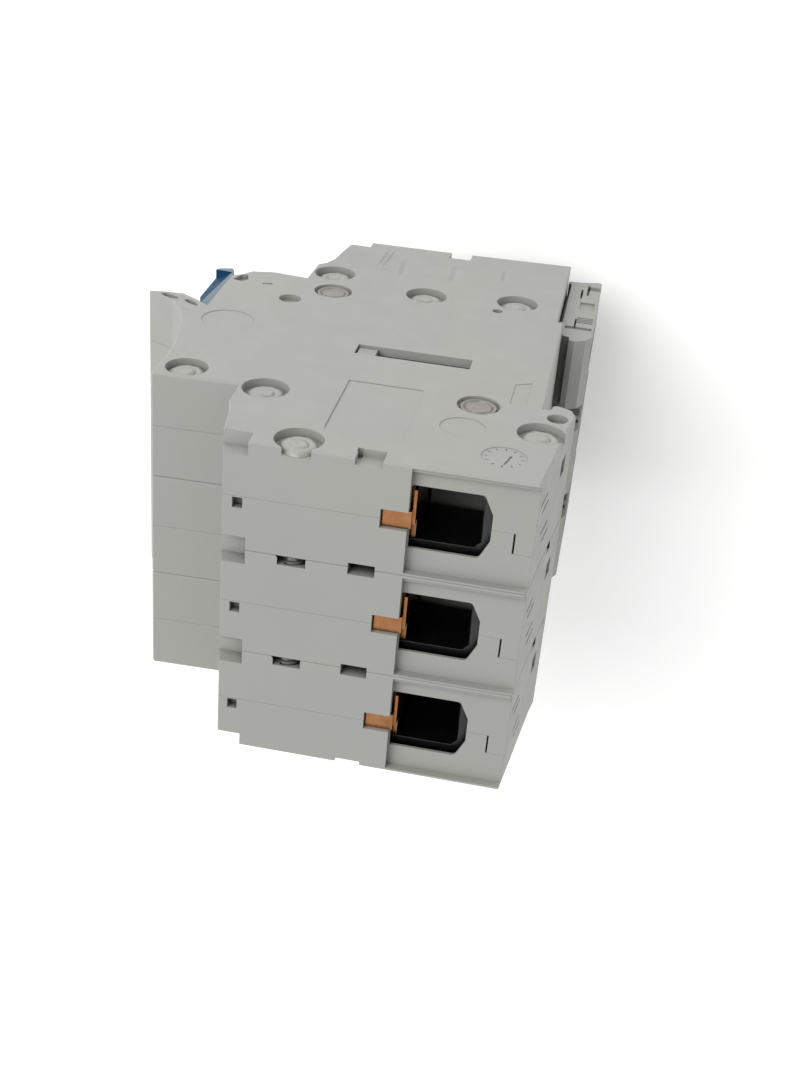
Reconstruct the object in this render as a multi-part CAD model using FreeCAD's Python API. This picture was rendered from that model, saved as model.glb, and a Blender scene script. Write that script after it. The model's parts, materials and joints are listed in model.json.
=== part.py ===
import FreeCAD, Part
import os

# Three-pole modular circuit breaker for a 35 mm top-hat rail. Millimetres.
#
# Row frame: +X runs along the rail, -Y points out of the panel (the toggle side), +Z is up.
# The origin is the middle of the rail seat: X at the middle of the three poles, Y on the seat, Z on the
# rail's centre line. Inside one pole the helpers use w (across the pole, from its left face), d (depth out
# of the rail seat, which is -Y) and h (height, which is Z).

Vec = FreeCAD.Vector

# Driving dimensions
POLES = 3
PITCH = 17.6            # width of one pole
WIDTH = POLES * PITCH
TOP_H = 43.8            # top terminal face
BOTTOM_H = -48.2        # lowest corner of the casing
TERMINAL_BOTTOM_H = -46.9   # lower terminal face, the mirror image of the top one
SHOULDER_D = 42.4       # front edge of the terminal faces
NOSE_D = 59.1           # front of the nose
NOSE_TOP_H = 25.9
NOSE_BOTTOM_H = -23.1
LIP_D = 70.0            # tip of the lip over the toggles
RAIL_TOP_H = 18.5       # upper end of the rail seat
RAIL_BOTTOM_H = -18.4   # lower end of the rail seat
EDGE_ROUND = 0.22       # rounding along the outline of each moulding

SIDE_WALL = 1.5
SEAM_W = PITCH / 2       # where the two half shells of a pole meet
SEAM_GAP = 0.02
TONGUE_W = 12.05         # where the left shell's tongue ends, at the top back edge
TONGUE_D = 0.5
MARK_DEPTH = 0.15

# Marks of the mould on the left face of a pole: (d, h, radius)
DIAL = (3.8, 36.7, 3.3)
SUNKEN_DISCS = [DIAL, (10.8, 29.0, 3.4), (54.0, 1.2, 4.3)]
DISC_DEPTH = 0.1
FIELD_DEPTH = 0.05
DIAL_DEPTH = 0.3
DIAL_TICKS = 12
SCOOP_DEPTH = 0.6
LIP_SCOOPS = [
    [(67.9, -6.3), (67.0, -5.3), (65.6, -4.6), (64.3, -4.7), (64.6, -5.5), (65.9, -6.3), (67.1, -6.7)],
    [(63.4, -4.8), (62.6, -3.9), (61.4, -3.1), (60.4, -2.8), (60.6, -3.6), (61.6, -4.7), (62.7, -5.2)],
]

# Terminals: the cable entry is w by d, the same at both ends
ENTRY_W = (3.55, 13.6)
ENTRY_D = (3.96, 15.55)
ENTRY_CHAMFER_W = 2.9
ENTRY_CHAMFER_D = 1.4
ENTRY_FILLET = 0.7
FACE_RECESS = 1.5       # depth of the recess round the cable entry
SCREW_W = 8.6
SCREW_H = 34.8
SCREW_R = 1.6           # core of an M4 thread
SCREW_HEAD_R = 3.1
CAGE_WALL = 1.65
CAGE_W = (2.6, 14.6)
CAGE_D = (4.0, 20.2)
CAGE_H = (29.4, 40.6)
CAGE_BACK = 1.3
BAR_D = (14.8, 16.4)
DRIVER_HOLE_R = 3.5

# Toggle
PIVOT_D = 52.2
PIVOT_H = -11.8
DRUM_R = 9.3
DRUM_ROOM_R = 10.6      # free space round the pivot
TOGGLE_W = (1.7, 15.9)
WEDGE_W = 1.3           # bevels down the front edges of the lever
WEDGE_D = 2.4
WEDGE_FRONT_D = 63.45
WEDGE_MIDDLE_H = -18.5
WEDGE_END_H = -25.4
WEDGE_TILT = 3.6
TIE_R = 0.9
TIE_D = 61.4
TIE_H = -21.4
TIE_START_W = 3.0
TIE_END_W = 14.6
CONTACT_SWING = 24.0    # degrees the contact arms close while the toggle goes ON

# Fastenings: (d, h) of the round wells and of the two long rivets
WELLS = [(54.5, 22.0), (41.2, 25.5), (32.4, 40.6), (42.1, -27.2), (24.6, -22.3), (8.7, -24.6), (-0.5, 27.3)]
WELL_R = 3.6
NOSE_WELL_R = 3.3       # the first well, so that it stays inside the nose
RIGHT_WELL_R = 2.6      # wells on the right face of a pole
WELL_DEPTH = 1.4
PIN_R = 1.2
PIN_HEAD_R = 2.0
PIN_HEAD = 0.5
PIN_GROOVE_R = (2.1, 2.8)   # crescent groove beside each pin head
PIN_GROOVE_DEPTH = 0.6
RIVETS = [(40.5, -18.3), (9.6, 20.5)]
RIVET_R = 1.6
RIVET_HEAD_R = 2.9
RIVET_HEAD = 0.5
RIVET_WELL_R = 3.3
RIVET_WELL_DEPTH = 0.7
RUNNING = 0.05          # radial clearance of pins and shafts

VENTS = [(4.6, 40.6), (6.4, 39.0), (10.6, 37.6), (12.6, 36.2)]     # (w, top of the slit)

# Coupling bar through the long slot of every half shell
SLOT_D = (12.8, 31.4)
SLOT_H = (3.7, 7.5)
BAR_SIZE = 3.0

# Magnet
COIL_H = 13.6
COIL_D = (15.6, 26.6)
COIL_R = 5.4
COIL_WIRE_R = 0.8
BOBBIN_R = 3.5
PLUNGER_R = 2.4
PLUNGER_PIN_R = 1.1
MID_W = PITCH / 2

CLIP_W = (2.4, 15.2)


def box(w, d, h):
    """A block between two widths, two depths and two heights."""
    corner = Vec(w[0], -d[1], h[0])
    return Part.makeBox(w[1] - w[0], d[1] - d[0], h[1] - h[0], corner)


def rod_w(d, h, r, w):
    """A cylinder along the pole's width."""
    return Part.makeCylinder(r, w[1] - w[0], Vec(w[0], -d, h), Vec(1, 0, 0))


def rod_d(w, h, r, d):
    """A cylinder along the depth, from the rail side to the front."""
    return Part.makeCylinder(r, d[1] - d[0], Vec(w, -d[0], h), Vec(0, -1, 0))


def rod_h(w, d, r, h):
    """An upright cylinder."""
    return Part.makeCylinder(r, h[1] - h[0], Vec(w, -d, h[0]), Vec(0, 0, 1))


def slab(points, w):
    """An outline of (d, h) points, drawn across the width w."""
    corners = [Vec(w[0], -d, h) for d, h in points]
    face = Part.Face(Part.makePolygon(corners + corners[:1]))
    return face.extrude(Vec(w[1] - w[0], 0, 0))


def floor_plan(points, h):
    """An outline of (w, d) points, drawn through the height h."""
    corners = [Vec(w, -d, h[0]) for w, d in points]
    face = Part.Face(Part.makePolygon(corners + corners[:1]))
    return face.extrude(Vec(0, 0, h[1] - h[0]))


def join(shapes):
    whole = shapes[0]
    for shape in shapes[1:]:
        whole = whole.fuse(shape)
    return whole.removeSplitter()


def turned(shape, d, h, degrees):
    """A copy turned about a widthwise axis; positive lifts the front."""
    copy = shape.copy()
    copy.rotate(Vec(0, -d, h), Vec(1, 0, 0), -degrees)
    return copy


def mirrored_end(shape):
    """The same piece at the lower terminal."""
    copy = shape.mirror(Vec(0, 0, (TOP_H + TERMINAL_BOTTOM_H) / 2), Vec(0, 0, 1))
    return copy


# Outline of the casing, (d, h), from the top back corner round the front
OUTLINE = [
    (-2.05, TOP_H), (SHOULDER_D, TOP_H), (43.3, 40.7), (44.3, 34.2), (45.2, 31.4), (45.4, 25.5),
    (NOSE_D - 0.4, NOSE_TOP_H), (NOSE_D, 25.2), (58.8, 19.6), (59.2, 14.0), (60.1, 8.5), (61.2, 3.6),
    (62.7, -0.4), (65.2, -3.9), (LIP_D - 0.3, -6.1), (LIP_D, -6.8), (67.4, -7.4), (64.2, -7.7),
    (61.0, -5.6), (NOSE_D, -4.1), (NOSE_D, -19.5), (57.8, -20.3), (56.3, -22.6), (52.7, -23.7),
    (46.3, NOSE_BOTTOM_H), (46.1, -30.9), (44.9, -32.2), (43.9, -34.9), (43.3, -40.6), (42.4, -46.5),
    (24.0, TERMINAL_BOTTOM_H), (1.0, BOTTOM_H), (1.0, RAIL_BOTTOM_H), (0.0, RAIL_BOTTOM_H),
    (0.0, RAIL_TOP_H), (-0.9, 18.3), (-1.25, 17.6), (-1.25, 16.9), (-2.05, 16.5), (-4.3, 17.5),
    (-5.0, 19.4), (-4.5, 22.5),
]

# Rooms inside a pole, (d, h)
MECHANISM_ROOM = [
    (2.0, -28.6), (44.0, -28.6), (44.0, -21.4), (57.0, -21.4), (57.2, -3.0), (60.0, -1.0), (58.4, 8.0),
    (57.0, 19.0), (57.2, 24.0), (43.4, 24.0), (2.0, 24.0),
]
TOP_ROOM = [(2.0, 28.0), (42.6, 28.0), (41.6, 34.0), (40.7, 39.8), (38.2, 39.8), (38.2, 41.8), (2.0, 41.8)]
BOTTOM_ROOM = [
    (3.9, -44.9), (38.2, -44.9), (38.2, -42.9), (40.7, -42.9), (41.6, -37.1), (42.6, -31.4), (3.9, -31.4),
]


def entry_opening(h):
    """The cable entry's clear section, with its two rail-side corners cut off."""
    w0, w1 = ENTRY_W
    d0, d1 = ENTRY_D
    cw = ENTRY_CHAMFER_W
    cd = ENTRY_CHAMFER_D
    opening = floor_plan([(w0 + cw, d0), (w1 - cw, d0), (w1, d0 + cd), (w1, d1), (w0, d1), (w0, d0 + cd)], h)
    cut_corners = [e for e in opening.Edges if e.BoundBox.ZLength > 1 and e.BoundBox.YMax > -d0 - cd - 0.1]
    return opening.makeFillet(ENTRY_FILLET, cut_corners)


def terminal_face_cuts():
    """Everything cut into the top terminal face and its two long edges."""
    above = TOP_H + 4
    recess = box((1.0, 17.1), (-6.0, 15.65), (TOP_H - FACE_RECESS, above))
    ledge = box((0.35, 1.1), (-6.0, 15.65), (TOP_H - 0.5, above))
    tab_slot = box((7.3, 10.3), (15.0, 19.6), (TOP_H - 3.0, above))
    bar_slot = box((3.7, 10.3), (14.6, 16.6), (CAGE_H[1], TOP_H - FACE_RECESS + 0.1))
    square_hole = box((9.0, 10.7), (39.5, 41.0), (TOP_H - 1.6, above))
    cuts = [recess, ledge, tab_slot, bar_slot, square_hole, entry_opening((CAGE_H[1], above))]
    for w in ((-1.0, 1.1), (PITCH - 0.8, PITCH + 1)):
        cuts.append(box(w, (19.75, 23.7), (TOP_H - 3.2, above)))
    for w in ((-1.0, 2.2), (PITCH - 2.2, PITCH + 1)):
        cuts.append(box(w, (38.9, 45.0), (TOP_H - 3.0, above)))
    return cuts


def vent_slits():
    """Four narrow stepped slits and one window through the slanted back, above the hook."""
    cuts = [box((w, w + 0.45), (-5.0, 2.5), (top - 4.5, top)) for w, top in VENTS]
    cuts.append(box((4.4, 7.4), (-5.6, 2.5), (23.4, 26.4)))
    return cuts


def clip_channel(grow):
    """The T-shaped way in which the rail clip slides, or the clip's own tongue when grow is 0."""
    low = BOTTOM_H - 1 if grow else -46.6
    neck = box((5.4 - grow, 12.2 + grow), (0.0, 1.9 + grow), (low, -21.0 + 2 * grow))
    head = box((3.8 - grow, 13.8 + grow), (1.9 - grow, 2.9 + grow), (low, -21.0 + 2 * grow))
    return neck.fuse(head)


def hollow_pole():
    """One pole's casing before it is parted into two half shells."""
    body = slab(OUTLINE, (0, PITCH))
    sides = [e for e in body.Edges if abs(e.BoundBox.XLength) < 1e-6]
    body = body.makeChamfer(EDGE_ROUND, sides)
    inside = (SIDE_WALL, PITCH - SIDE_WALL)
    rooms = [slab(MECHANISM_ROOM, inside), slab(TOP_ROOM, inside), slab(BOTTOM_ROOM, inside)]
    # walls that stay between the rooms, and the posts round every fastening
    posts = [rod_w(d, h, 2.2, (0, PITCH)) for d, h in WELLS]
    posts += [rod_w(d, h, WELL_R + 0.7, (0, WELL_DEPTH + 1.0)) for d, h in WELLS]
    posts += [rod_w(d, h, RIGHT_WELL_R + 0.7, (PITCH - WELL_DEPTH - 1.0, PITCH)) for d, h in WELLS]
    posts += [rod_w(d, h, 2.8, (0, PITCH)) for d, h in RIVETS]
    clip_guard = box((0, PITCH), (0, 5.4), (-28.6, -20.0))
    keep = [p.common(body) for p in posts]
    for room in rooms:
        body = body.cut(room)
    body = join([body] + keep + [clip_guard.common(slab(OUTLINE, (0.5, PITCH - 0.5)))])

    cuts = terminal_face_cuts()
    bottom_cuts = [mirrored_end(c) for c in cuts]
    cuts += bottom_cuts
    cuts += vent_slits()
    # the well at the top face opens upwards through a slot
    cuts.append(box((-1.0, WELL_DEPTH), (29.9, 34.1), (TOP_H - 3.2, TOP_H + 1)))
    # passages of the two current bars between a terminal room and the mechanism room
    cuts.append(box((3.8, 13.4), (14.5, 16.7), (23.0, 29.0)))
    cuts.append(box((3.8, 13.4), (14.5, 16.7), (-33.0, -27.6)))
    # screwdriver holes
    driver_hole = rod_d(SCREW_W, SCREW_H, DRIVER_HOLE_R, (36.0, 48.0))
    cuts += [driver_hole, mirrored_end(driver_hole)]
    cuts.append(rod_w(PIVOT_D, PIVOT_H, DRUM_ROOM_R, (1.3, PITCH - 1.3)))
    cuts.append(box((1.3, PITCH - 1.3), (PIVOT_D, 64.0), (-19.4, -8.0)))
    cuts.append(slab([(56.0, -19.0), (60.0, -20.6), (60.0, -10.0), (56.0, -10.0)], (1.3, PITCH - 1.3)))
    under_lip = slab([(58.6, -9.0), (58.6, -3.8), (61.8, -4.4), (66.0, -6.3), (69.0, -7.0), (69.0, -9.0)],
                     (1.3, PITCH - 1.3))
    cuts += [under_lip, clip_channel(0.12)]
    cuts.append(box((-1, PITCH + 1), SLOT_D, SLOT_H))
    for d, h in WELLS:
        left_r = NOSE_WELL_R if d > NOSE_D - 6 else WELL_R
        cuts.append(rod_w(d, h, PIN_R + RUNNING, (-1, PITCH + 1)))
        cuts.append(rod_w(d, h, left_r, (-1, WELL_DEPTH)))
        cuts.append(rod_w(d, h, RIGHT_WELL_R, (PITCH - WELL_DEPTH, PITCH + 1)))
    for d, h in RIVETS:
        cuts.append(rod_w(d, h, RIVET_R + RUNNING, (-1, PITCH + 1)))
        cuts.append(rod_w(d, h, RIVET_WELL_R, (-1, RIVET_WELL_DEPTH)))
        cuts.append(rod_w(d, h, RIVET_WELL_R, (PITCH - RIVET_WELL_DEPTH, PITCH + 1)))
    # toggle pivot, small coupling holes, engraved field and mould marks on both side faces
    cuts.append(rod_w(PIVOT_D, PIVOT_H, 1.5 + RUNNING, (0.7, PITCH - 0.7)))
    cuts.append(rod_w(46.7, -12.0, 1.9, (-1, 1.0)))
    for w in ((-1, 1.2), (PITCH - 1.2, PITCH + 1)):
        cuts.append(rod_w(-2.4, 21.4, 1.6, w))
    cuts.append(rod_w(11.6, -19.6, 0.9, (-1, 0.7)))
    cuts.append(slab([(58.4, -17.4), (56.6, -16.9), (55.8, -18.2), (56.4, -20.4), (57.5, -20.1)], (-1, 0.8)))
    cuts.append(slab([(52.8, -16.9), (51.2, -17.4), (51.4, -18.0), (53.0, -17.5)], (-1, 0.4)))
    cuts += pin_grooves()
    cuts += side_marks()
    return body.cut(cuts)


def pin_grooves():
    """A crescent groove in the floor of each left well, on the side towards the rail and the top."""
    inner, outer = PIN_GROOVE_R
    w = (WELL_DEPTH - 0.1, WELL_DEPTH + PIN_GROOVE_DEPTH)
    grooves = []
    for d, h in WELLS:
        ring = rod_w(d, h, outer, w).cut(rod_w(d, h, inner, (-1, PITCH + 1)))
        sector = slab([(d, h), (d + 1.5, h + 4.5), (d - 4.5, h + 4.5), (d - 4.5, h - 1.0)], w)
        grooves.append(ring.common(sector))
    return grooves


def side_marks():
    """Marks of the mould on a left side face: a framed field, sunken discs, a date dial and lip scoops."""
    cuts = [box((-1, MARK_DEPTH), (29.7, 29.95), (18.1, 35.6))]
    cuts.append(box((-1, MARK_DEPTH), (18.4, 29.95), (18.1, 18.35)))
    cuts.append(box((-1, FIELD_DEPTH), (18.3, 29.8), (18.2, 36.6)))
    cuts.append(box((-1, 1.4), (23.2, 23.9), (TOP_H - 3.4, TOP_H - 2.2)))
    cuts.append(slab([(5.1, 18.4), (5.1, 10.9), (2.6, 9.5), (2.6, 18.4)], (-1, DISC_DEPTH)))
    for d, h, r in SUNKEN_DISCS:
        cuts.append(rod_w(d, h, r, (-1, DISC_DEPTH)))
    cuts += date_dial()
    for points in LIP_SCOOPS:
        cuts.append(slab(points, (-1, SCOOP_DEPTH)))
    return cuts


def date_dial():
    """Pointer and tick marks on the small disc at the top back corner."""
    d, h, r = DIAL
    pointer = slab([(d - 0.1, h + 2.1), (d - 0.45, h + 2.1), (d - 1.15, h - 0.8), (d - 0.8, h - 0.8)],
                   (-1, DIAL_DEPTH))
    ticks = []
    for i in range(DIAL_TICKS):
        tick = box((-1, DIAL_DEPTH), (d + r - 0.9, d + r - 0.35), (h - 0.08, h + 0.08))
        ticks.append(turned(tick, d, h, 360.0 * i / DIAL_TICKS))
    return [pointer] + ticks


def half_shells():
    """The left and right half shells; a tongue of the left one reaches across at the top back edge."""
    pole = hollow_pole()
    left_side = box((-1, SEAM_W), (-10, 80), (-60, 60))
    tongue = box((SEAM_W - 0.5, TONGUE_W), (-10, TONGUE_D), (38.0, 60))
    left = pole.common(left_side.fuse(tongue))
    right_side = box((-1, SEAM_W + SEAM_GAP), (-10, 80), (-60, 60))
    tongue_room = box((SEAM_W - 0.5, TONGUE_W + SEAM_GAP), (-10, TONGUE_D + 0.25), (38.0 - SEAM_GAP, 60))
    right = pole.cut(right_side.fuse(tongue_room))
    return largest(left), largest(right)


def largest(shape):
    return sorted(shape.Solids, key=lambda s: s.Volume)[-1]


def toggle(tie_w):
    """Drum, lever and pivot stubs of one toggle, in the OFF position; tie_w is the span of its tie hole."""
    drum = rod_w(PIVOT_D, PIVOT_H, DRUM_R, TOGGLE_W)
    lever = slab([(PIVOT_D, PIVOT_H + 8.6), (57.6, -4.6), (60.4, -7.4), (62.0, -10.0), (63.1, -13.4),
                  (63.8, -25.3), (63.2, -26.3), (61.1, -27.1), (60.6, -26.2), (60.1, -23.6), (59.6, -19.6),
                  (58.4, -16.8), (PIVOT_D, PIVOT_H)], TOGGLE_W)
    room = rod_w(PIVOT_D, PIVOT_H, 5.6, (4.4, 13.2))
    stubs = rod_w(PIVOT_D, PIVOT_H, 1.5, (0.9, PITCH - 0.9))
    back = box((0, PITCH), (40.0, PIVOT_D - 1.6), (-40, 10))
    body = join([drum, lever]).cut([room, back] + toggle_wedges())
    body = join([body, stubs])
    return largest(body.cut(rod_w(TIE_D, TIE_H, TIE_R, tie_w)))


def toggle_wedges():
    """Long bevels down both front edges of the lever, ending short of its broad tip."""
    front = WEDGE_FRONT_D
    half_w = WEDGE_W / 2
    half_d = WEDGE_D / 2
    w = TOGGLE_W[0]
    corner = [(w - half_w, front - WEDGE_D - half_d), (w + WEDGE_W + half_w, front + half_d),
              (w - half_w, front + half_d)]
    left = floor_plan(corner, (WEDGE_END_H, -5.0))
    left = turned(left, front, WEDGE_MIDDLE_H, -WEDGE_TILT)
    right = left.mirror(Vec(MID_W, 0, 0), Vec(1, 0, 0))
    return [left, right]


def terminal_cage():
    """A rectangular steel loop: the cable goes down through it, the screw through its front wall."""
    outer = box(CAGE_W, CAGE_D, CAGE_H)
    inner_w = (CAGE_W[0] + CAGE_WALL, CAGE_W[1] - CAGE_WALL)
    inner = box(inner_w, (CAGE_D[0] + CAGE_BACK, CAGE_D[1] - 2.0), (CAGE_H[0] - 1, CAGE_H[1] + 1))
    rear_corners = [e for e in inner.Edges if e.BoundBox.ZLength > 5 and e.BoundBox.YMax > -CAGE_D[0] - 3]
    inner = inner.makeChamfer(1.0, rear_corners)
    uprights = [e for e in outer.Edges if e.BoundBox.ZLength > 5]
    outer = outer.makeFillet(1.2, uprights)
    hole = rod_d(SCREW_W, SCREW_H, SCREW_R + RUNNING, (CAGE_D[1] - 3, CAGE_D[1] + 1))
    # cross ribs pressed into the clamping face
    rib_w = (inner_w[0] + 1.8, inner_w[1] - 1.8)
    rib_d = (CAGE_D[0] + CAGE_BACK - 0.1, CAGE_D[0] + CAGE_BACK + 0.3)
    ribs = [box(rib_w, rib_d, (h, h + 0.8)) for h in (31.6, 34.4, 37.2)]
    return join([outer.cut([inner, hole])] + ribs)


def terminal_screw():
    """Captive clamp screw with a combined slot and cross in its head."""
    head = rod_d(SCREW_W, SCREW_H, SCREW_HEAD_R, (33.0, 36.2))
    rim = [e for e in head.Edges if abs(e.BoundBox.YMin + 36.2) < 0.01 and e.BoundBox.YLength < 0.01]
    head = head.makeChamfer(0.4, rim)
    shaft = rod_d(SCREW_W, SCREW_H, SCREW_R, (BAR_D[1] + 0.05, 33.0))
    slot = box((SCREW_W - 2.7, SCREW_W + 2.7), (34.8, 37), (SCREW_H - 0.5, SCREW_H + 0.5))
    cross = box((SCREW_W - 0.5, SCREW_W + 0.5), (34.4, 37), (SCREW_H - 1.9, SCREW_H + 1.9))
    return join([head, shaft]).cut([slot, cross])


def clamp_bar():
    """Copper bar through the top clamp, its contact tab bent forward just under the terminal face."""
    top = TOP_H - FACE_RECESS
    wide = box((4.35, 12.85), BAR_D, (27.0, 40.4))
    edge = box((4.35, 9.9), (BAR_D[0], BAR_D[0] + 0.45), (40.0, top))
    narrow = box((4.35, 9.9), BAR_D, (40.0, top - 1.2))
    tab = box((7.45, 10.15), (BAR_D[0] + 0.45, 19.4), (TOP_H - 2.2, TOP_H - 0.7))
    return join([wide, edge, narrow, tab])


def top_current_bar():
    """Clamp bar of the top terminal, with a foot that carries on to the magnet coil."""
    foot = box((4.4, 9.8), (BAR_D[0], 26.0), (20.8, 22.0))
    neck = box((4.4, 9.8), BAR_D, (21.0, 28.0))
    return join([clamp_bar(), neck, foot])


def bottom_current_bar():
    """Clamp bar of the lower terminal, with a foot that carries the bimetal strip."""
    neck = box((4.4, 9.8), BAR_D, (-32.0, -27.4))
    foot = box((5.2, 11.8), (BAR_D[0], 31.4), (-28.5, -27.2))
    return join([mirrored_end(clamp_bar()), neck, foot])


def coil():
    """Magnet winding: stacked turns of copper wire on the bobbin, one solid."""
    core = rod_d(MID_W, COIL_H, COIL_R - COIL_WIRE_R, COIL_D)
    turns = int((COIL_D[1] - COIL_D[0]) / (2 * COIL_WIRE_R))
    rings = []
    for i in range(turns):
        middle = Vec(MID_W, -(COIL_D[0] + COIL_WIRE_R * (2 * i + 1.2)), COIL_H)
        rings.append(Part.makeTorus(COIL_R - COIL_WIRE_R, COIL_WIRE_R * 0.98, middle, Vec(0, 1, 0)))
    bore = rod_d(MID_W, COIL_H, BOBBIN_R, (COIL_D[0] - 1, COIL_D[1] + 1))
    return join([core] + rings).cut(bore)


def yoke():
    """Steel frame of the magnet: two end plates and the plate over the coil."""
    rear = box((4.2, 13.4), (14.0, 15.4), (8.4, 20.0))
    front = box((4.2, 13.4), (26.8, 28.2), (8.4, 20.0))
    roof = box((10.0, 13.4), (14.0, 28.2), (19.2, 20.6))
    core = rod_d(MID_W, COIL_H, BOBBIN_R - 0.1, (14.5, 18.4))
    hole = rod_d(MID_W, COIL_H, PLUNGER_PIN_R + RUNNING, (26.0, 29.0))
    return join([rear, front, roof, core]).cut(hole)


def plunger():
    """Moving core of the magnet and its striker pin."""
    body = rod_d(MID_W, COIL_H, PLUNGER_R, (18.6, 22.8))
    pin = rod_d(MID_W, COIL_H, PLUNGER_PIN_R, (22.8, 30.0))
    return join([body, pin])


def plunger_spring():
    """Return spring round the striker pin, a stack of rings for its turns."""
    wire = 0.28
    count = 5
    step = 3.9 / count
    radius = 1.75
    rings = []
    for i in range(count):
        middle = Vec(MID_W, -(22.85 + wire + step * i), COIL_H)
        rings.append(Part.makeTorus(radius, wire, middle, Vec(0, 1, 0)))
    link_h = COIL_H + radius
    link = box((MID_W - 0.15, MID_W + 0.15), (23.0, 26.7), (link_h - 0.15, link_h + 0.15))
    return join(rings + [link])


def moving_contact():
    """Contact arm on its pivot, open; its silver button faces up towards the fixed contact."""
    pivot = (35.0, -3.0)
    arm = slab([(36.6, -2.2), (36.6, -3.8), (22.8, 0.0), (22.0, 0.3), (22.0, 1.0), (24.0, 1.0)], (7.0, 10.6))
    boss = rod_w(pivot[0], pivot[1], 2.0, (6.2, 11.4))
    button = rod_h(MID_W, 23.0, 1.1, (0.9, 1.25))
    closed = join([arm, boss, button])
    closed = closed.cut(rod_w(pivot[0], pivot[1], 0.85, (0, PITCH)))
    return turned(closed, pivot[0], pivot[1], CONTACT_SWING)


def fixed_contact():
    """Silver-faced stationary contact under the coil."""
    strip = box((6.6, 11.0), (14.6, 24.4), (2.4, 3.3))
    button = rod_h(MID_W, 23.0, 1.2, (1.5, 2.4))
    return join([strip, button])


def arc_chute():
    """Stack of V-notched steel plates held by two fibre cheeks."""
    solids = [box((2.6, 3.3), (6.2, 21.4), (-17.8, -3.0)), box((14.3, 15.0), (6.2, 21.4), (-17.8, -3.0))]
    for i in range(8):
        level = -17.0 + 1.8 * i
        steel = floor_plan([(3.3, 6.6), (14.3, 6.6), (14.3, 21.2), (10.2, 21.2), (MID_W, 14.0),
                            (7.4, 21.2), (3.3, 21.2)], (level, level + 0.9))
        solids.append(steel)
    return Part.makeCompound(solids)


def bimetal():
    """Thermal strip standing on the lower current bar."""
    foot = box((5.6, 11.4), (28.0, 31.2), (-27.2, -26.4))
    strip = box((6.6, 10.4), (30.2, 31.2), (-26.4, -8.6))
    return join([foot, strip])


def latch_lever():
    """Lever between the toggle and the contact arm."""
    lever = slab([(36.4, -9.4), (39.8, -9.4), (42.0, -6.0), (43.0, 6.0), (40.8, 6.0), (39.6, -4.2),
                  (36.4, -6.6)], (11.8, 13.6))
    boss = rod_w(40.0, -6.6, 1.9, (11.6, 13.9))
    return join([lever, boss]).cut(rod_w(40.0, -6.6, 0.85, (0, PITCH)))


def rail_clip():
    """Sliding clip that hooks behind the lower edge of the rail."""
    tongue = clip_channel(0)
    body = slab([(0.0, -18.7), (-1.3, -18.2), (-1.3, -16.9), (-2.3, -16.5), (-4.2, -17.6), (-5.2, -19.6),
                 (-5.2, -47.4), (-4.6, -47.9), (-1.4, -46.8), (0.9, -46.6), (0.9, -19.2)], CLIP_W)
    window = box((5.4, 12.2), (-6.0, -1.0), (-35.0, -23.0))
    pull_slot = box((6.8, 10.8), (-6.0, 2.0), (-45.0, -42.6))
    back_pocket = box((5.4, 12.2), (-6.0, -1.8), (-41.4, -37.0))
    return largest(join([tongue, body]).cut([window, pull_slot, back_pocket] + clip_flank_cuts()))


def clip_flank_cuts():
    """Slots, a band and ribs moulded into both flanks of the clip, the same on each."""
    cuts = []
    for flank, inward in ((CLIP_W[0], 1), (CLIP_W[1], -1)):
        def depth(amount):
            return tuple(sorted((flank - 0.5 * inward, flank + amount * inward)))
        cuts.append(box(depth(1.8), (0.4, 1.0), (-45.4, -25.0)))
        cuts.append(box(depth(0.9), (-2.05, -1.7), (-43.0, -38.2)))
        cuts.append(box(depth(0.9), (-3.2, -2.8), (-45.5, -40.1)))
        cuts.append(box(depth(0.6), (-5.4, -3.2), (-45.0, -42.9)))
        cuts.append(box(depth(0.3), (-4.6, -2.0), (-36.2, -32.5)))
        cuts.append(box(depth(0.9), (-1.95, -1.65), (-27.5, -23.5)))
        cuts.append(box(depth(0.35), (-4.8, -0.2), (-23.6, -22.2)))
        for i in range(4):
            low = -28.3 + 0.75 * i
            cuts.append(box(depth(0.5), (-4.8, -1.95), (low, low + 0.45)))
    return cuts


def shell_pins():
    """The seven pins that hold a pole's two half shells, each with a crossed head at both ends."""
    pins = []
    for d, h in WELLS:
        near = WELL_DEPTH - PIN_HEAD
        far = PITCH - near
        shaft = rod_w(d, h, PIN_R, (near, far))
        heads = [rod_w(d, h, PIN_HEAD_R, (near, WELL_DEPTH)),
                 rod_w(d, h, PIN_HEAD_R, (PITCH - WELL_DEPTH, far))]
        pin = join([shaft] + heads)
        cross = [box((near - 1, near + 0.2), (d - 0.25, d + 0.25), (h - 1.5, h + 1.5)),
                 box((near - 1, near + 0.2), (d - 1.5, d + 1.5), (h - 0.25, h + 0.25))]
        pins.append(pin.cut(cross))
    return pins


def pole_rivets():
    """Two rivets through all the poles, with a ring groove in each head."""
    rivets = []
    near = RIVET_WELL_DEPTH - RIVET_HEAD
    far = WIDTH - near
    for d, h in RIVETS:
        shaft = rod_w(d, h, RIVET_R, (near, far))
        heads = [rod_w(d, h, RIVET_HEAD_R, (near, RIVET_WELL_DEPTH)),
                 rod_w(d, h, RIVET_HEAD_R, (WIDTH - RIVET_WELL_DEPTH, far))]
        ring = rod_w(d, h, 2.2, (near - 1, near + 0.15)).cut(rod_w(d, h, 1.9, (near - 1, near + 1)))
        rivets.append(join([shaft] + heads).cut(ring))
    return rivets


def save(name, shape, pole=0):
    """Writes one node, moved from pole coordinates to the row frame."""
    placed = shape.copy()
    placed.translate(Vec(pole * PITCH - WIDTH / 2, 0, 0))
    placed.exportStep("parts/" + name + ".step")


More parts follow.
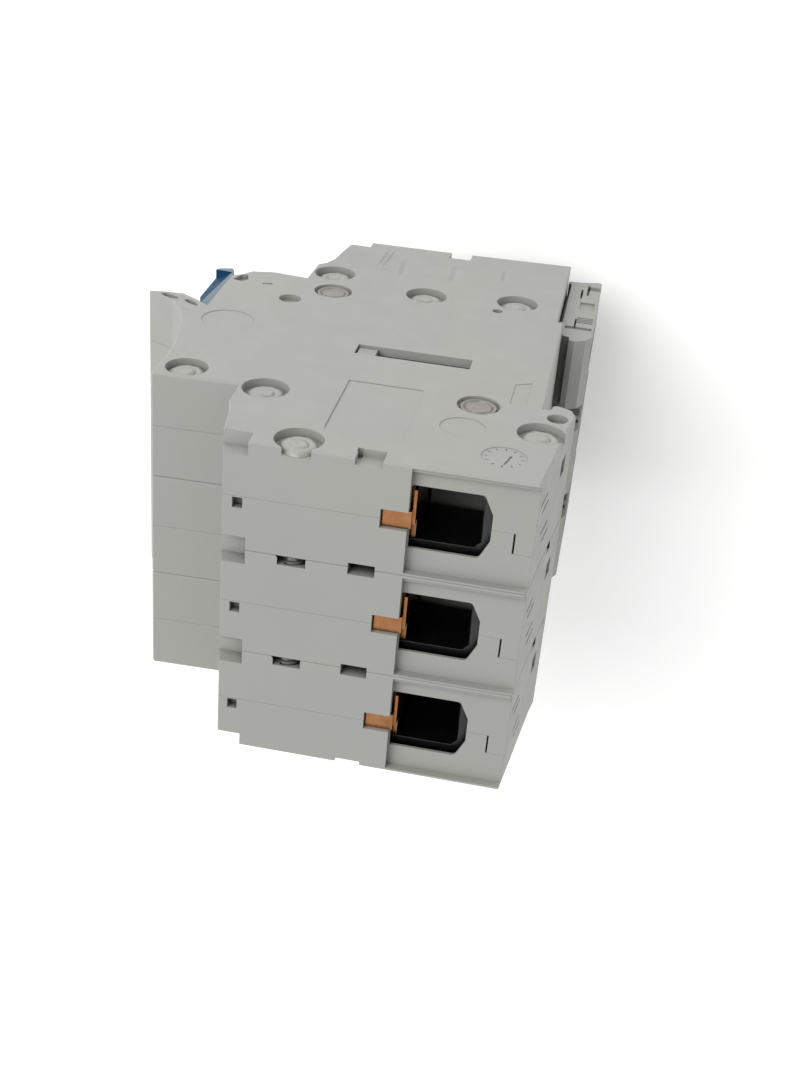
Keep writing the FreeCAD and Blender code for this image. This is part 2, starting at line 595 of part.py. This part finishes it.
def main():
    os.makedirs("parts", exist_ok=True)
    left, right = half_shells()
    per_pole = {
        "left_shell": left,
        "right_shell": right,
        "top_current_bar": top_current_bar(),
        "bottom_current_bar": bottom_current_bar(),
        "top_cage": terminal_cage(),
        "bottom_cage": mirrored_end(terminal_cage()),
        "top_screw": terminal_screw(),
        "bottom_screw": mirrored_end(terminal_screw()),
        "coil": coil(),
        "yoke": yoke(),
        "plunger": plunger(),
        "plunger_spring": plunger_spring(),
        "moving_contact": moving_contact(),
        "arc_chute": arc_chute(),
        "bimetal": bimetal(),
        "latch_lever": latch_lever(),
        "rail_clip": rail_clip(),
    }
    # the tie bar is captive: its hole ends blind in the first and the last toggle
    tie_spans = [(TIE_START_W, PITCH), (0, PITCH), (0, TIE_END_W)]
    for pole in range(POLES):
        for name, shape in per_pole.items():
            save("pole_%d_%s" % (pole + 1, name), shape, pole)
        save("pole_%d_toggle" % (pole + 1), toggle(tie_spans[pole]), pole)

    pins = []
    contacts = []
    for pole in range(POLES):
        here = Vec(pole * PITCH, 0, 0)
        for pin in shell_pins():
            pin.translate(here)
            pins.append(pin)
        contact = fixed_contact()
        contact.translate(here)
        contacts.append(contact)
    save("shell_pins", Part.makeCompound(pins))
    save("fixed_contacts", Part.makeCompound(contacts))
    save("pole_rivets", Part.makeCompound(pole_rivets()))
    last = (POLES - 1) * PITCH
    tie = rod_w(TIE_D, TIE_H, TIE_R - 0.02, (TIE_START_W + 0.1, last + TIE_END_W - 0.1))
    save("handle_tie_bar", tie)
    middle_d = SLOT_D[1] - 0.25 - BAR_SIZE / 2
    middle_h = (SLOT_H[0] + SLOT_H[1]) / 2
    bar = box((0.4, WIDTH - 0.4), (middle_d - BAR_SIZE / 2, middle_d + BAR_SIZE / 2),
              (middle_h - BAR_SIZE / 2, middle_h + BAR_SIZE / 2))
    save("coupling_bar", bar)


main()
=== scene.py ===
import json
import math

import bmesh
import bpy
from mathutils import Matrix, Vector, noise


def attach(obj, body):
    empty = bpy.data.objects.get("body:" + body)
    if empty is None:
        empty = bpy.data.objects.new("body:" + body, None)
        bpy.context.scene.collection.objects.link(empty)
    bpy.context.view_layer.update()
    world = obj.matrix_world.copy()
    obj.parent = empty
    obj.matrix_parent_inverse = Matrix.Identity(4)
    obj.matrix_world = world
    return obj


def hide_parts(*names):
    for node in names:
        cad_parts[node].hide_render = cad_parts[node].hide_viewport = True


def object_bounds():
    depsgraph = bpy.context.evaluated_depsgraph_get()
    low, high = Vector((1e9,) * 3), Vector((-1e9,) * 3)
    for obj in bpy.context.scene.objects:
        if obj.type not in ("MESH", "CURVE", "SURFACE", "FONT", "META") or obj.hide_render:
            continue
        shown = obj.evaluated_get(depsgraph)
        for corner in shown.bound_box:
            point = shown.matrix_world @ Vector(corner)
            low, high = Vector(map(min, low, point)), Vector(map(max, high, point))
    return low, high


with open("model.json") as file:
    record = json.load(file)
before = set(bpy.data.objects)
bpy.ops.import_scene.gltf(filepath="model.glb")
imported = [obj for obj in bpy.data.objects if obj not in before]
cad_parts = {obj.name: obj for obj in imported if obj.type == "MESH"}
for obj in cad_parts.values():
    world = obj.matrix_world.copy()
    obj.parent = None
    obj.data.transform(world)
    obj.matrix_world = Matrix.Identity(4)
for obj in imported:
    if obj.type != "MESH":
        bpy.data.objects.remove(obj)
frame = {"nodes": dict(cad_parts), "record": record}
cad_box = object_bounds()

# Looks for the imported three-pole circuit breaker. Metres, in the row frame: +X along the rail,
# -Y out of the panel (the toggle side), +Z up.

MM = 0.001
POLES = 3
PITCH = 17.6 * MM
LEFT_FACE = -POLES * PITCH / 2

# Camera at the photograph's angle
CAMERA_PLACE = (-0.1185, 0.00777, 0.22409)
CAMERA_RIGHT = (-0.07777, 0.98116, -0.17684)
CAMERA_DOWN = (0.86312, 0.15503, 0.48061)
CAMERA_VIEW = (0.49898, -0.11526, -0.85892)
CAMERA_LENS = 49.036

# Fastenings, in the row frame: (y, z) of the pins of one pole and of the long rivets
WELL_DEPTH = 1.4 * MM
PIN_SHAFT_R = 1.2 * MM
LEFT_HEAD_SIZE = 1.14
RIGHT_HEAD_SIZE = 0.86
HIDDEN_HEAD_SIZE = 0.62      # between two poles
PIN_PLACES = [(-54.5, 22.0), (-41.2, 25.5), (-32.4, 40.6), (-42.1, -27.2), (-24.6, -22.3), (-8.7, -24.6),
              (0.5, 27.3)]
RIVET_PLACES = [(-40.5, -18.3), (-9.6, 20.5)]
RIVET_WELL_DEPTH = 0.7 * MM
RIVET_SHAFT_R = 1.6 * MM

# Heads of the pins: height and mean radius of a head of size 1
HEAD_CROWN = 0.80 * MM
HEAD_RADIUS = 2.5

# How far the painted shade of rooms, of moulded corners and of metal corners looks for a way out
ROOM_REACH = 14 * MM
CORNER_REACH = 1.6 * MM
METAL_CORNER_REACH = 1.0 * MM

# Metals: share of the second colour, painted shade in corners, rounding of edges and depth of the brushing
STAIN_SHARE = 0.35
METAL_CORNER_SHADE = 0.4
METAL_EDGE = 0.12 * MM
SCRATCH_DEPTH = 0.004 * MM

# Studio: the floor's half width and its distance below the lowest point, the sky and the two lamps in watts
FLOOR_HALF = 3.0
FLOOR_GAP = 0.012
FLOOR_GLOW = 0.12
SKY_STRENGTH = 0.70
KEY_POWER = 10.5
FILL_POWER = 3.5
OBJECT_MIDDLE = (0, -0.02, 0)


# ---------------------------------------------------------------- node helpers

class Graph:
    """A material's node tree with short ways to add and join nodes."""

    def __init__(self, name):
        self.material = bpy.data.materials.new(name)
        self.material.use_nodes = True
        self.tree = self.material.node_tree
        self.tree.nodes.clear()
        self.output = self.tree.nodes.new("ShaderNodeOutputMaterial")
        self.shader = self.add("ShaderNodeBsdfPrincipled")
        self.join(self.shader.outputs["BSDF"], self.output.inputs["Surface"])
        self.place = self.add("ShaderNodeTexCoord").outputs["Object"]

    def join(self, source, socket):
        self.tree.links.new(source, socket)

    def put(self, socket, value):
        if isinstance(value, bpy.types.NodeSocket):
            self.join(value, socket)
        else:
            socket.default_value = value

    def add(self, kind, values=None, **settings):
        made = self.tree.nodes.new(kind)
        for key, value in settings.items():
            setattr(made, key, value)
        for key, value in (values or {}).items():
            self.put(made.inputs[key], value)
        return made

    def math(self, operation, a, b=0.0):
        made = self.add("ShaderNodeMath", operation=operation)
        self.put(made.inputs[0], a)
        self.put(made.inputs[1], b)
        return made.outputs[0]

    def noise(self, per_mm, detail=3.0, stretch=None, seed=0.0):
        """Noise from 0 to 1, per_mm features to the millimetre, stretched by a factor on each axis."""
        factors = stretch or (1.0, 1.0, 1.0)
        scale = tuple(per_mm * 1000 * f for f in factors)
        mapped = self.add("ShaderNodeMapping", {"Vector": self.place, "Location": (seed, seed, seed),
                                                "Scale": scale})
        made = self.add("ShaderNodeTexNoise", {"Vector": mapped.outputs[0], "Scale": 1.0, "Detail": detail,
                                               "Roughness": 0.55})
        return made.outputs["Fac"]

    def span(self, value, low, high, new_low=0.0, new_high=1.0):
        made = self.add("ShaderNodeMapRange", {"Value": value, "From Min": low, "From Max": high,
                                               "To Min": new_low, "To Max": new_high})
        return made.outputs[0]

    def mix(self, share, a, b, blend="MIX"):
        made = self.add("ShaderNodeMix", data_type="RGBA", blend_type=blend)
        self.put(made.inputs[0], share)
        self.put(made.inputs[6], a)
        self.put(made.inputs[7], b)
        return made.outputs[2]

    def crevice(self, distance):
        """1 in the open, towards 0 deep in a corner."""
        made = self.add("ShaderNodeAmbientOcclusion", {"Distance": distance}, samples=6)
        return made.outputs["AO"]

    def painted_room_shade(self, colour, black_below, full_above):
        """Painted shade: the colour in the open, painted nearly black far inside a room or a slot."""
        light = self.span(self.crevice(ROOM_REACH), black_below, full_above, 0.04, 1.0)
        grey = self.add("ShaderNodeCombineColor", {"Red": light, "Green": light, "Blue": light})
        return self.mix(1.0, colour, grey.outputs[0], "MULTIPLY")

    def separate(self):
        made = self.add("ShaderNodeSeparateXYZ", {"Vector": self.place})
        return made.outputs

    def bump(self, height, depth, below, strength=1.0):
        """Raises the surface by height times depth, on top of the normal below."""
        values = {"Height": height, "Distance": depth, "Strength": strength, "Normal": below}
        return self.add("ShaderNodeBump", values).outputs[0]

    def round_edges(self, radius):
        return self.add("ShaderNodeBevel", {"Radius": radius}, samples=4).outputs[0]


def srgb(red, green, blue):
    """A linear colour from 8-bit screen values."""
    def linear(v):
        v = v / 255
        return v / 12.92 if v <= 0.04045 else ((v + 0.055) / 1.055) ** 2.4
    return (linear(red), linear(green), linear(blue), 1.0)


def shade(colour, factor):
    return (colour[0] * factor, colour[1] * factor, colour[2] * factor, 1.0)


# ---------------------------------------------------------------- materials

def moulded(name, colour, roughness, round_mm=0.12, grain_um=5.0, corner_shade=0.25, marks=None, shine=0.42,
            tint=None, side_highlight=None):
    """Moulded plastic: mottled colour, painted shade in the corners and far inside rooms, a fine eroded
    grain and softened edges.
    The last argument is the colour painted on the faces that look along the rail: a painted highlight, paler
    than the rest."""
    g = Graph(name)
    cloud = g.noise(0.035, 4.0, seed=3.0)
    fine = g.noise(5.5, 2.0)
    warm = tint or (colour[0] * 1.02, colour[1] * 1.0, colour[2] * 0.985, 1.0)
    base = g.mix(g.span(cloud, 0.3, 0.7), shade(colour, 0.975), warm)
    base = g.mix(g.span(fine, 0.35, 0.65), g.mix(1.0, base, (0.97, 0.97, 0.97, 1.0), "MULTIPLY"), base)
    # painted highlight: faces that look along the rail are painted paler, as if lit by the lamp from the
    # side
    if side_highlight:
        flat_normal = g.add("ShaderNodeNewGeometry").outputs["True Normal"]
        facing = g.add("ShaderNodeSeparateXYZ", {"Vector": flat_normal})
        sideways = g.math("ABSOLUTE", facing.outputs["X"])
        base = g.mix(g.span(sideways, 0.93, 0.98), base, side_highlight)
    # painted shade: the colour is darkened in corners and creases, where the occlusion finds little open sky
    open_sky = g.crevice(CORNER_REACH)
    corner_shade_colour = g.mix(1.0, base, (0.66, 0.65, 0.62, 1.0), "MULTIPLY")
    base = g.mix(g.math("MULTIPLY", g.span(open_sky, 0.85, 0.25), corner_shade), base, corner_shade_colour)
    # painted shade: the colour is darkened nearly to black far inside rooms and slots
    base = g.painted_room_shade(base, 0.03, 0.28)
    g.put(g.shader.inputs["Base Color"], base)
    rough = g.span(g.noise(0.25, 3.0, seed=9.0), 0.3, 0.7, roughness - 0.05, roughness + 0.06)
    g.put(g.shader.inputs["Roughness"], rough)
    g.put(g.shader.inputs["Specular IOR Level"], shine)
    normal = g.round_edges(round_mm * MM)
    swell = g.noise(0.06, 1.5, seed=5.0)
    normal = g.bump(swell, 0.12 * MM, normal, 0.6)
    if marks:
        normal = g.bump(marks(g), 0.16 * MM, normal)
    grain = g.noise(7.0, 3.0)
    normal = g.bump(grain, grain_um * 0.001 * MM, normal)
    g.put(g.shader.inputs["Normal"], normal)
    return g.material


def metal(name, colour, roughness, stain=None, brush=(1.0, 1.0, 1.0), metallic=1.0):
    """Rolled or plated metal: directional brushing, blotches of a second colour, and painted shade in
    corners and far inside rooms.
    """
    g = Graph(name)
    lines = g.noise(3.0, 4.0, stretch=brush)
    blotch = g.noise(0.3, 5.0, seed=2.0)
    second = stain or shade(colour, 0.7)
    share = g.math("MULTIPLY", g.span(blotch, 0.42, 0.68), STAIN_SHARE)
    base = g.mix(share, colour, second)
    base = g.mix(g.span(lines, 0.3, 0.7), g.mix(1.0, base, (0.86, 0.86, 0.86, 1.0), "MULTIPLY"), base)
    # painted shade: metal is darkened in its corners, and nearly to black far inside rooms
    open_sky = g.crevice(METAL_CORNER_REACH)
    base = g.mix(g.math("MULTIPLY", g.span(open_sky, 0.8, 0.2), METAL_CORNER_SHADE), base, shade(second, 0.35))
    base = g.painted_room_shade(base, 0.05, 0.4)
    g.put(g.shader.inputs["Base Color"], base)
    g.put(g.shader.inputs["Metallic"], metallic)
    g.put(g.shader.inputs["Roughness"], g.span(lines, 0.3, 0.7, roughness - 0.07, roughness + 0.09))
    normal = g.round_edges(METAL_EDGE)
    normal = g.bump(lines, SCRATCH_DEPTH, normal)
    normal = g.bump(blotch, 0.02 * MM, normal, 0.5)
    g.put(g.shader.inputs["Normal"], normal)
    return g.material


def streak(g, start, end, width, y, z):
    """1 along a line from start to end in the (y, z) plane, fading over width and at both ends."""
    length = math.dist(start, end)
    along_y = (end[0] - start[0]) / length
    along_z = (end[1] - start[1]) / length
    from_y = g.math("SUBTRACT", y, start[0])
    from_z = g.math("SUBTRACT", z, start[1])
    along = g.math("ADD", g.math("MULTIPLY", from_y, along_y), g.math("MULTIPLY", from_z, along_z))
    across = g.math("SUBTRACT", g.math("MULTIPLY", from_y, along_z), g.math("MULTIPLY", from_z, along_y))
    near = g.span(g.math("ABSOLUTE", across), 0.0, width, 1.0, 0.0)
    fade = g.math("MULTIPLY", g.span(along, 0.0, length * 0.3), g.span(along, length, length * 0.7))
    return g.math("MULTIPLY", near, fade)


def sink_marks(g):
    """Faint ribs and sink lines on the side faces near the lower end."""
    axes = g.separate()
    y, z = axes["Y"], axes["Z"]
    lines = [((-34.9, -44.6), (-35.5, -33.0), 0.45), ((-33.9, -44.6), (-34.5, -33.4), 0.4),
             ((-31.2, -41.0), (-30.4, -28.0), 0.8), ((-21.7, -41.0), (-21.1, -29.0), 0.9),
             ((-12.6, -42.0), (-12.2, -33.0), 0.7)]
    total = None
    for start, end, width in lines:
        one = streak(g, (start[0] * MM, start[1] * MM), (end[0] * MM, end[1] * MM), width * MM, y, z)
        total = one if total is None else g.math("MAXIMUM", total, one)
    return g.math("MULTIPLY", total, -1.6)


GREY = srgb(150, 151, 147)
MATERIALS = {
    "shell_plastic": moulded("shell_plastic", GREY, 0.52, marks=sink_marks),
    "clip_plastic": moulded("clip_plastic", srgb(143, 144, 139), 0.42, grain_um=2.5),
    # the pins get a stronger painted shade in their corners
    "pin_plastic": moulded("pin_plastic", srgb(152, 153, 148), 0.40, round_mm=0.1, grain_um=9.0, corner_shade=0.45),
    # the toggle's sides get a pale painted highlight
    "toggle_plastic": moulded("toggle_plastic", srgb(27, 59, 88), 0.45, round_mm=0.25, grain_um=1.5,
                              tint=srgb(31, 65, 94), shine=0.02, side_highlight=srgb(124, 137, 147)),
    "tie_bar_plastic": moulded("tie_bar_plastic", srgb(50, 88, 124), 0.34, grain_um=1.5,
                               tint=srgb(56, 95, 130), shine=0.12),
    "lever_plastic": moulded("lever_plastic", srgb(205, 202, 190), 0.45, grain_um=2.0),
    "copper": metal("copper", srgb(205, 145, 100), 0.24, stain=srgb(140, 84, 52), brush=(0.25, 1.0, 4.0)),
    "winding_copper": metal("winding_copper", srgb(170, 84, 46), 0.3, stain=srgb(110, 50, 30)),
    "clamp_steel": metal("clamp_steel", srgb(84, 86, 85), 0.36, stain=srgb(52, 52, 50),
                         brush=(1.0, 3.0, 0.4)),
    "screw_steel": metal("screw_steel", srgb(198, 198, 192), 0.28, stain=srgb(150, 150, 132)),
    "magnet_steel": metal("magnet_steel", srgb(150, 150, 148), 0.38),
    "spring_steel": metal("spring_steel", srgb(190, 190, 188), 0.24),
    "silver": metal("silver", srgb(216, 212, 202), 0.3, stain=srgb(176, 164, 142)),
    "bimetal": metal("bimetal", srgb(190, 182, 166), 0.32, brush=(1.0, 1.0, 0.15)),
    "chute_steel": metal("chute_steel", srgb(168, 164, 156), 0.4),
    "rivet_metal": metal("rivet_metal", srgb(146, 143, 139), 0.42, stain=srgb(130, 122, 118), metallic=0.75),
}


def dress(piece, slot):
    """Gives a piece its slot's material."""
    piece.data.materials.clear()
    piece.data.materials.append(MATERIALS[slot])


slot_of = {part["node"]: part["material_slot"] for part in frame["record"]["subparts"]}
for node_name, node_object in frame["nodes"].items():
    dress(node_object, slot_of[node_name])


# ---------------------------------------------------------------- pieces in mesh code

def piece_from(bm, name, smooth_angle=40):
    """Turns a bmesh into an object, with smooth shading up to an angle."""
    bmesh.ops.recalc_face_normals(bm, faces=bm.faces)
    mesh = bpy.data.meshes.new(name)
    bm.to_mesh(mesh)
    bm.free()
    mesh.shade_smooth()
    mesh.set_sharp_from_angle(angle=math.radians(smooth_angle))
    made = bpy.data.objects.new(name, mesh)
    bpy.context.scene.collection.objects.link(made)
    return made


def lathe(bm, rings, segments, at, direction):
    """A closed solid along X. rings are (x, radius) from one end to the other."""
    loops = []
    for x, radius in rings:
        loop = []
        for i in range(segments):
            angle = 2 * math.pi * i / segments
            loop.append(bm.verts.new((at[0] + direction * x,
                                      at[1] + radius * math.cos(angle), at[2] + radius * math.sin(angle))))
        loops.append(loop)
    for one, two in zip(loops, loops[1:]):
        for i in range(segments):
            j = (i + 1) % segments
            bm.faces.new((one[i], one[j], two[j], two[i]))
    for loop in (loops[0], loops[-1]):
        middle = bm.verts.new(sum((v.co for v in loop), Vector()) / segments)
        for i in range(segments):
            bm.faces.new((loop[i], loop[(i + 1) % segments], middle))


def melted_head(bm, face_x, direction, y, z, seed, size):
    """The heat-formed end of a plastic pin: a wide lumpy button with a curl pressed into it.
    direction is +1 where the well opens towards -X."""
    floor = WELL_DEPTH
    rings = 14
    segments = 48
    turn = 0.6 + 2.5 * noise.noise(Vector((seed, 3.1, 0.4)))

    def rim(angle):
        lobes = Vector((math.cos(angle), math.sin(angle), seed))
        return (HEAD_RADIUS + 0.26 * noise.noise(lobes * 1.3) + 0.14 * noise.noise(lobes * 3.7)) * size * MM

    def height(share, angle):
        button = math.sqrt(max(0.0, 1 - share ** 5)) * HEAD_CROWN
        towards = 0.5 + 0.5 * math.cos(angle - turn)
        curl = math.exp(-((share - 0.40 - 0.12 * towards) / 0.09) ** 2) * (0.10 + 0.28 * towards) * MM
        reach = share * 2.6
        lump = 0.22 * MM * noise.noise(Vector((reach * math.cos(angle), reach * math.sin(angle), seed)))
        return button - curl + lump * (1 - share)

    loops = []
    for k in range(1, rings + 1):
        share = k / rings
        loop = []
        for i in range(segments):
            angle = 2 * math.pi * i / segments
            r = rim(angle) * share
            x = face_x + direction * (floor - height(share, angle))
            loop.append(bm.verts.new((x, y + r * math.cos(angle), z + r * math.sin(angle))))
        loops.append(loop)
    top = bm.verts.new((face_x + direction * (floor - height(0.0, 0.0)), y, z))
    for i in range(segments):
        bm.faces.new((loops[0][i], loops[0][(i + 1) % segments], top))
    for one, two in zip(loops, loops[1:]):
        for i in range(segments):
            j = (i + 1) % segments
            bm.faces.new((one[i], one[j], two[j], two[i]))
    under = bm.verts.new((face_x + direction * floor, y, z))
    for i in range(segments):
        bm.faces.new((loops[-1][i], loops[-1][(i + 1) % segments], under))


def make_pins():
    bm = bmesh.new()
    for pole in range(POLES):
        left = LEFT_FACE + pole * PITCH
        left_size = LEFT_HEAD_SIZE if pole == 0 else HIDDEN_HEAD_SIZE
        right_size = RIGHT_HEAD_SIZE if pole == POLES - 1 else HIDDEN_HEAD_SIZE
        for number, (y, z) in enumerate(PIN_PLACES):
            seed = 7.3 * number + 31.7 * pole
            melted_head(bm, left, 1, y * MM, z * MM, seed, left_size)
            melted_head(bm, left + PITCH, -1, y * MM, z * MM, seed + 4.9, right_size)
            shaft = [(WELL_DEPTH, PIN_SHAFT_R), (PITCH - WELL_DEPTH, PIN_SHAFT_R)]
            lathe(bm, shaft, 24, (left, y * MM, z * MM), 1)
    made = piece_from(bm, "melted_shell_pins", 60)
    dress(made, "pin_plastic")
    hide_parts("shell_pins")
    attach(made, "housing")


def make_rivets():
    """Long tubular rivets with a rolled rim and a dished middle at both ends."""
    bm = bmesh.new()
    width = POLES * PITCH
    floor = RIVET_WELL_DEPTH
    # (height above the well's floor, radius) of a head from its middle to its rim
    head = [(0.26, 0.9), (0.28, 1.55), (0.36, 1.8), (0.37, 1.9), (0.20, 2.02), (0.14, 2.12),
            (0.18, 2.22), (0.40, 2.36), (0.48, 2.52), (0.46, 2.68), (0.34, 2.82), (0.16, 2.9), (0.0, 2.9)]
    for y, z in RIVET_PLACES:
        rings = [(floor - h * MM, r * MM) for h, r in head]
        rings.append((floor, RIVET_SHAFT_R))
        rings.append((width - floor, RIVET_SHAFT_R))
        rings += [(width - floor + h * MM, r * MM) for h, r in reversed(head)]
        lathe(bm, rings, 56, (LEFT_FACE, y * MM, z * MM), 1)
    made = piece_from(bm, "rolled_rivets", 35)
    dress(made, "rivet_metal")
    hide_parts("pole_rivets")
    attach(made, "housing")


make_pins()
make_rivets()


# ---------------------------------------------------------------- floor, light and camera

def make_floor():
    level = cad_box[0].z - FLOOR_GAP
    bm = bmesh.new()
    corners = [bm.verts.new((x * FLOOR_HALF, y * FLOOR_HALF, level))
               for x, y in ((-1, -1), (1, -1), (1, 1), (-1, 1))]
    bm.faces.new(corners)
    mesh = bpy.data.meshes.new("floor")
    bm.to_mesh(mesh)
    bm.free()
    floor = bpy.data.objects.new("floor", mesh)
    bpy.context.scene.collection.objects.link(floor)
    g = Graph("floor_white")
    cloud = g.noise(0.004, 3.0)
    g.put(g.shader.inputs["Base Color"], g.mix(cloud, (0.93, 0.93, 0.93, 1.0), (0.96, 0.96, 0.955, 1.0)))
    g.put(g.shader.inputs["Roughness"], 0.9)
    g.put(g.shader.inputs["Specular IOR Level"], 0.1)
    g.put(g.shader.inputs["Emission Color"], (1.0, 1.0, 1.0, 1.0))
    g.put(g.shader.inputs["Emission Strength"], FLOOR_GLOW)
    mesh.materials.append(g.material)


def area_light(name, place, target, size, power):
    light = bpy.data.lights.new(name, "AREA")
    light.shape = "DISK"
    light.size = size
    light.energy = power
    made = bpy.data.objects.new(name, light)
    made.location = place
    direction = Vector(target) - Vector(place)
    made.rotation_mode = "QUATERNION"
    made.rotation_quaternion = direction.to_track_quat("-Z", "Y")
    bpy.context.scene.collection.objects.link(made)


def make_world():
    world = bpy.data.worlds.new("studio")
    bpy.context.scene.world = world
    world.use_nodes = True
    background = world.node_tree.nodes["Background"]
    background.inputs["Color"].default_value = (1.0, 1.0, 1.0, 1.0)
    background.inputs["Strength"].default_value = SKY_STRENGTH


def make_camera():
    data = bpy.data.cameras.new("photo_camera")
    data.lens = CAMERA_LENS
    data.sensor_width = 36
    data.clip_start = 0.01
    data.clip_end = 20
    camera = bpy.data.objects.new("photo_camera", data)
    axes = Matrix((CAMERA_RIGHT, [-v for v in CAMERA_DOWN], [-v for v in CAMERA_VIEW])).transposed()
    camera.rotation_mode = "QUATERNION"
    camera.rotation_quaternion = axes.to_quaternion()
    camera.location = CAMERA_PLACE
    bpy.context.scene.collection.objects.link(camera)
    bpy.context.scene.camera = camera


make_floor()
make_world()
area_light("key", (-0.66, -0.48, 0.98), OBJECT_MIDDLE, 0.9, KEY_POWER)
area_light("front_fill", (0.1, -1.1, 0.6), OBJECT_MIDDLE, 0.8, FILL_POWER)
make_camera()
bpy.context.scene.view_settings.view_transform = "Standard"
